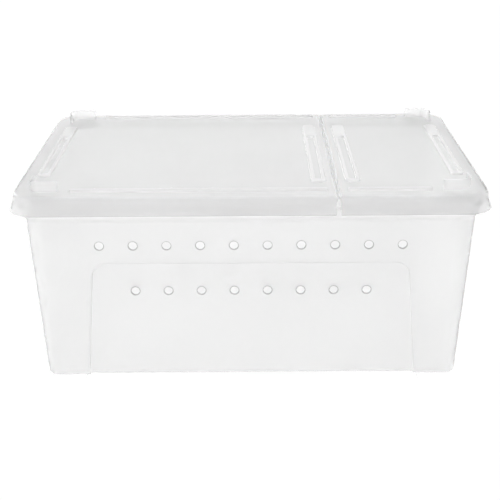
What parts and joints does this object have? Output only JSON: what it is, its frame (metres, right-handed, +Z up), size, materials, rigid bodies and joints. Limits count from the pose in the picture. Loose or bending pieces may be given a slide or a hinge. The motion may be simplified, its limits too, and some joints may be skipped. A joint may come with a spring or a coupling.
{
  "type": "tortoise hibernation box",
  "caption": "Clear vented plastic tub with a press-fit stacking lid whose end third folds up on a living hinge.",
  "frame": {"origin": "centre of the tub's footprint, on the surface it stands on", "axes": "+X along the length towards the folding flap, +Y towards the back wall, +Z up"},
  "size_m": [0.32, 0.2196, 0.1452],
  "materials": {
    "frosted_plastic": "frosted translucent polypropylene, faint mould sheen",
    "frosted_plastic_lid": "frosted translucent polypropylene, satin top",
    "frosted_plastic_hinge": "thin flexed translucent polypropylene"
  },
  "bodies": {
    "tub": {"tub": "frosted_plastic"},
    "lid": {"lid_panel": "frosted_plastic_lid", "living_hinge": "frosted_plastic_hinge"},
    "flap": {"lid_flap": "frosted_plastic_lid"}
  },
  "joints": [
    {"name": "lid_lift", "type": "slide", "parent": "tub", "child": "lid", "axis": [0, 0, 1], "range_m": [0, 0.06]},
    {"name": "flap_fold", "type": "hinge", "parent": "lid", "child": "flap", "pos_m": [0.0575, 0, 0.1365], "axis": [0, -1, 0], "range_deg": [0, 110], "deforming": ["living_hinge"]}
  ]
}
